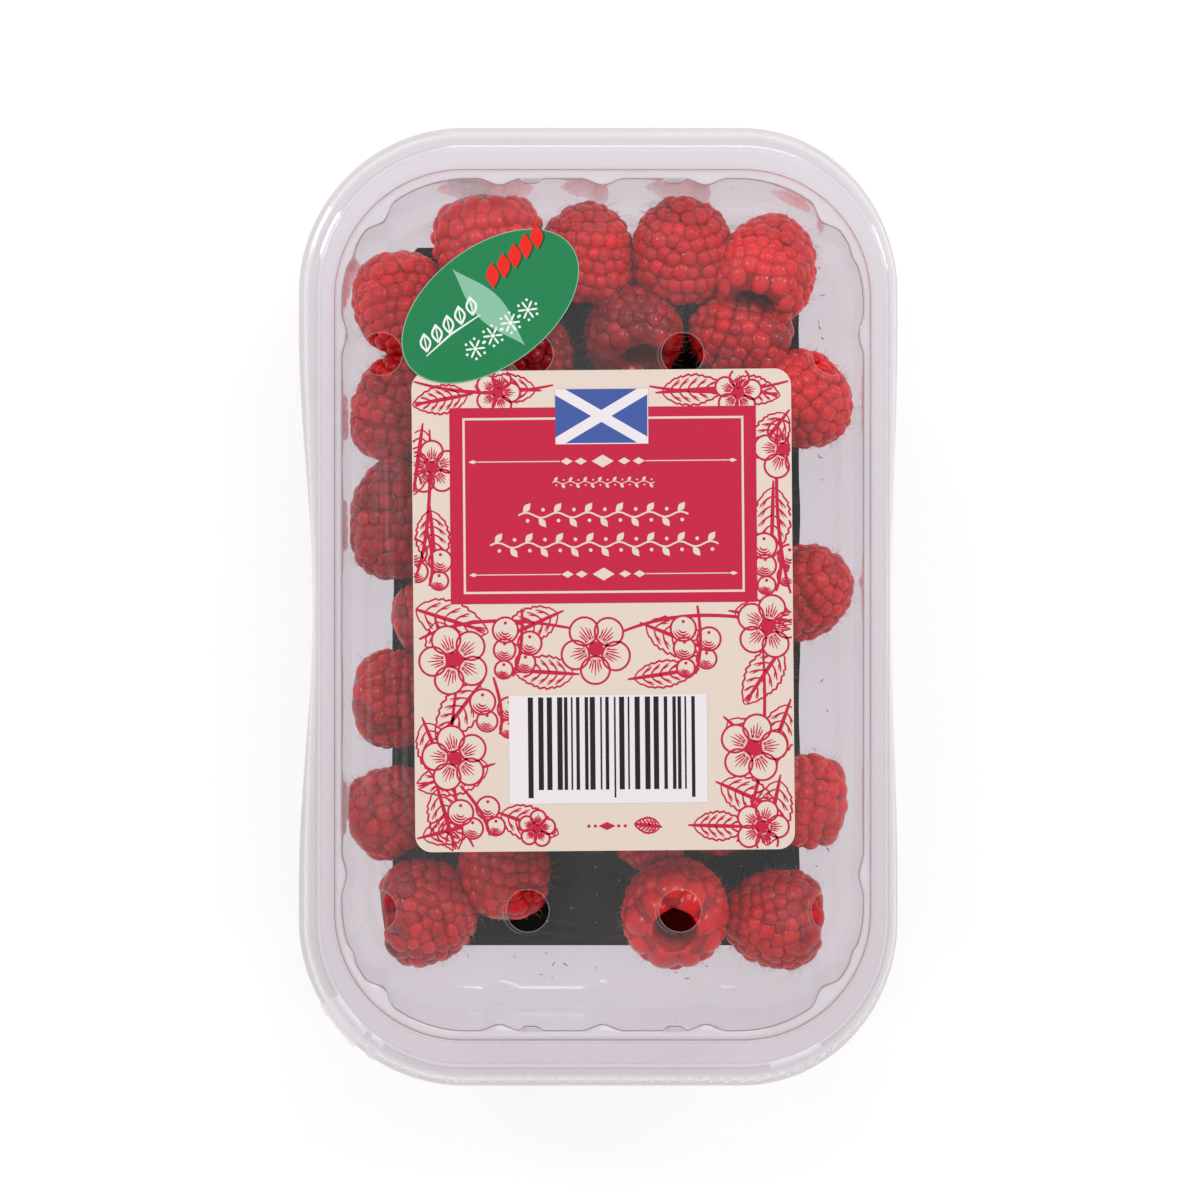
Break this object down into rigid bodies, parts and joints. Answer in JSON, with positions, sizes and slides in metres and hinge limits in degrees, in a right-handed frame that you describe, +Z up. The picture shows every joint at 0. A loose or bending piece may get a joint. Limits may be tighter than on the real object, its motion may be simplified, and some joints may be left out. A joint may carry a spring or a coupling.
{
  "type": "punnet of raspberries",
  "caption": "Shallow clear plastic fruit punnet with fluted walls and flared rim, closed by a vented clear film with a paper label and oval sticker, holding red berries on a black soaker pad.",
  "frame": {"origin": "middle of the foot of the tray, on the surface that it stands on, under the middle of the rim", "axes": "+X across the punnet, +Y along it towards the end with the oval sticker, +Z up through the film"},
  "size_m": [0.1188, 0.19, 0.036],
  "materials": {
    "clear_tray": "clear glossy formed plastic sheet",
    "clear_film": "clear glossy film with a faint haze",
    "label_paper": "matt cream paper with crimson print",
    "sticker_paper": "satin green paper",
    "pad_fleece": "black absorbent pad under a thin smooth skin",
    "berry_flesh": "moist translucent red fruit with fine hairs"
  },
  "bodies": {
    "root": {"tray": "clear_tray", "film": "clear_film", "label": "label_paper", "sticker": "sticker_paper", "pad": "pad_fleece", "berries": "berry_flesh"}
  },
  "joints": []
}
